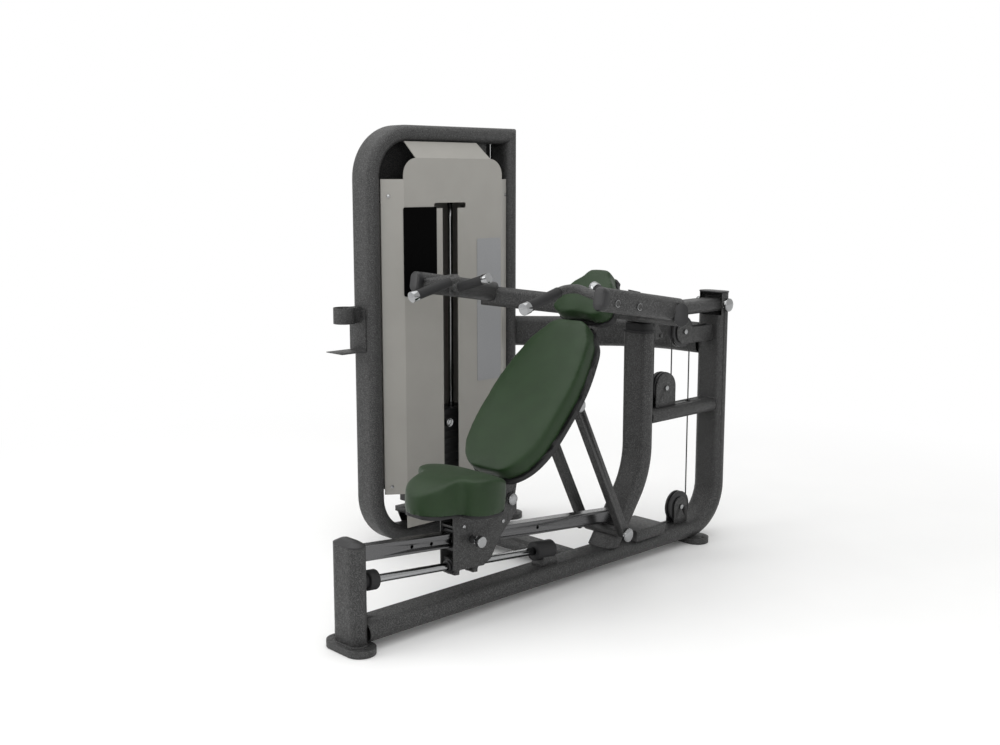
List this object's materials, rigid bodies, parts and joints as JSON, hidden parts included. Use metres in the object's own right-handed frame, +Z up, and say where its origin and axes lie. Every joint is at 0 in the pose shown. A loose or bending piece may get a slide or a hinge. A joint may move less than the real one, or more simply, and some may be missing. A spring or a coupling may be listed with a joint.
{
  "type": "multi press machine",
  "caption": "Gym press machine with a seat sliding on a rail, a strut-carried reclining backrest, a pivoting press arm and a shrouded weight tower.",
  "frame": {"origin": "centre of the overall box at floor level", "axes": "+X across the machine from the weight tower towards the rail side, +Y along the machine from the seat towards the rear upright, +Z up; the user faces -Y"},
  "size_m": [1.3036, 1.825, 1.574],
  "materials": {
    "frame_paint": "satin",
    "shroud_paint": "satin",
    "black_plastic": "satin",
    "black_rubber": "matte",
    "bright_steel": "polished",
    "rail_steel": "polished",
    "plate_iron": "satin",
    "cable_cover": "satin",
    "seat_vinyl": "satin",
    "board_black": "matte",
    "window_sheet": "polished",
    "placard_sheet": "satin"
  },
  "bodies": {
    "frame": {"base_frame": "frame_paint", "front_post": "frame_paint", "tube_caps": "black_plastic", "floor_feet": "frame_paint", "mid_upright": "frame_paint", "boom_rest": "black_rubber", "upright_brace": "frame_paint", "cable_box": "frame_paint", "cross_tube": "frame_paint", "floor_link": "frame_paint", "tower_hoop": "frame_paint", "tower_rear_leg": "frame_paint", "front_shroud": "shroud_paint", "rear_shroud": "shroud_paint", "shroud_brackets": "frame_paint", "frame_bolts": "bright_steel", "window_panel": "window_sheet", "guide_placard": "placard_sheet", "weight_stack": "plate_iron", "guide_rods": "bright_steel", "rubber_bumpers": "black_rubber", "stack_carrier": "frame_paint", "pulley_brackets": "frame_paint", "lift_cable": "cable_cover", "return_cable": "cable_cover", "arm_cable": "cable_cover", "stack_cable": "cable_cover", "seat_rail": "rail_steel", "guide_rod": "bright_steel", "rod_block_bracket": "frame_paint", "strut_pivot_tube": "frame_paint", "pivot_bolts": "bright_steel", "bottle_holder": "frame_paint"},
    "press_arm": {"press_boom": "frame_paint", "press_yoke": "frame_paint", "press_arms": "frame_paint", "arm_caps": "black_plastic", "handle_grips": "black_rubber", "handle_tips": "bright_steel", "cable_anchor": "frame_paint"},
    "base_wheel": {"base_pulley": "black_plastic"},
    "brace_wheel": {"brace_pulley": "black_plastic"},
    "top_wheel": {"top_pulley": "black_plastic"},
    "front_tower_wheel": {"front_tower_pulley": "black_plastic"},
    "rear_tower_wheel": {"rear_tower_pulley": "black_plastic"},
    "stack": {"lifted_plates": "plate_iron", "selector_stem": "bright_steel"},
    "selector": {"selector_pin": "bright_steel"},
    "carriage": {"seat_carriage": "frame_paint", "carriage_glides": "black_plastic", "carriage_fittings": "bright_steel", "seat_board": "board_black", "seat_cushion": "seat_vinyl"},
    "seat_pin": {"pull_pin": "bright_steel"},
    "backrest": {"backrest_frame": "frame_paint", "back_boards": "board_black", "back_cushion": "seat_vinyl", "head_cushion": "seat_vinyl", "strut_top_bolt": "bright_steel"},
    "struts": {"struts": "frame_paint"}
  },
  "joints": [
    {"name": "press_arm_lift", "type": "hinge", "parent": "frame", "child": "press_arm", "pos_m": [0.18124, 0.8805, 0.906], "axis": [-1, 0, 0], "range_deg": [0, 26], "deforming": ["arm_cable"]},
    {"name": "base_wheel_turn", "type": "hinge", "parent": "frame", "child": "base_wheel", "pos_m": [0.18124, 0.68, 0.145], "axis": [-1, 0, 0], "range_deg": [-180, 180]},
    {"name": "brace_wheel_turn", "type": "hinge", "parent": "frame", "child": "brace_wheel", "pos_m": [0.18124, 0.575, 0.617], "axis": [-1, 0, 0], "range_deg": [-180, 180]},
    {"name": "top_wheel_turn", "type": "hinge", "parent": "frame", "child": "top_wheel", "pos_m": [0.18124, 0.68, 0.817], "axis": [-1, 0, 0], "range_deg": [-180, 180]},
    {"name": "front_tower_wheel_turn", "type": "hinge", "parent": "frame", "child": "front_tower_wheel", "pos_m": [-0.55676, 0.155, 1.42], "axis": [-1, 0, 0], "range_deg": [-180, 180]},
    {"name": "rear_tower_wheel_turn", "type": "hinge", "parent": "frame", "child": "rear_tower_wheel", "pos_m": [-0.55676, 0.322, 1.42], "axis": [-1, 0, 0], "range_deg": [-180, 180]},
    {"name": "stack_lift", "type": "slide", "parent": "frame", "child": "stack", "axis": [0, 0, 1], "range_m": [0, 0.17], "deforming": ["stack_cable"]},
    {"name": "selector_pull", "type": "slide", "parent": "stack", "child": "selector", "axis": [1, 0, 0], "range_m": [0, 0.09]},
    {"name": "seat_slide", "type": "slide", "parent": "frame", "child": "carriage", "axis": [0, 0.9959, -0.0903], "range_m": [-0.156, 0]},
    {"name": "pin_pull", "type": "slide", "parent": "carriage", "child": "seat_pin", "axis": [1, 0, 0], "range_m": [-0.012, 0.003]},
    {"name": "backrest_recline", "type": "hinge", "parent": "carriage", "child": "backrest", "pos_m": [0.18124, -0.2325, 0.348], "axis": [1, 0, 0], "range_deg": [-14.5, 0]},
    {"name": "strut_swing", "type": "hinge", "parent": "frame", "child": "struts", "pos_m": [0.18124, 0.2595, 0.141], "axis": [1, 0, 0], "range_deg": [0, 10.5]}
  ],
  "couplings": [
    {"joint": "stack_lift", "follows": "press_arm_lift", "m_per_rad": 0.3575},
    {"joint": "base_wheel_turn", "follows": "press_arm_lift", "ratio": -6.81},
    {"joint": "brace_wheel_turn", "follows": "press_arm_lift", "ratio": 6.81},
    {"joint": "top_wheel_turn", "follows": "press_arm_lift", "ratio": -6.81},
    {"joint": "front_tower_wheel_turn", "follows": "press_arm_lift", "ratio": 6.81},
    {"joint": "rear_tower_wheel_turn", "follows": "press_arm_lift", "ratio": 6.81},
    {"joint": "backrest_recline", "follows": "seat_slide", "rad_per_m": 1.6},
    {"joint": "strut_swing", "follows": "seat_slide", "rad_per_m": -1.16}
  ]
}
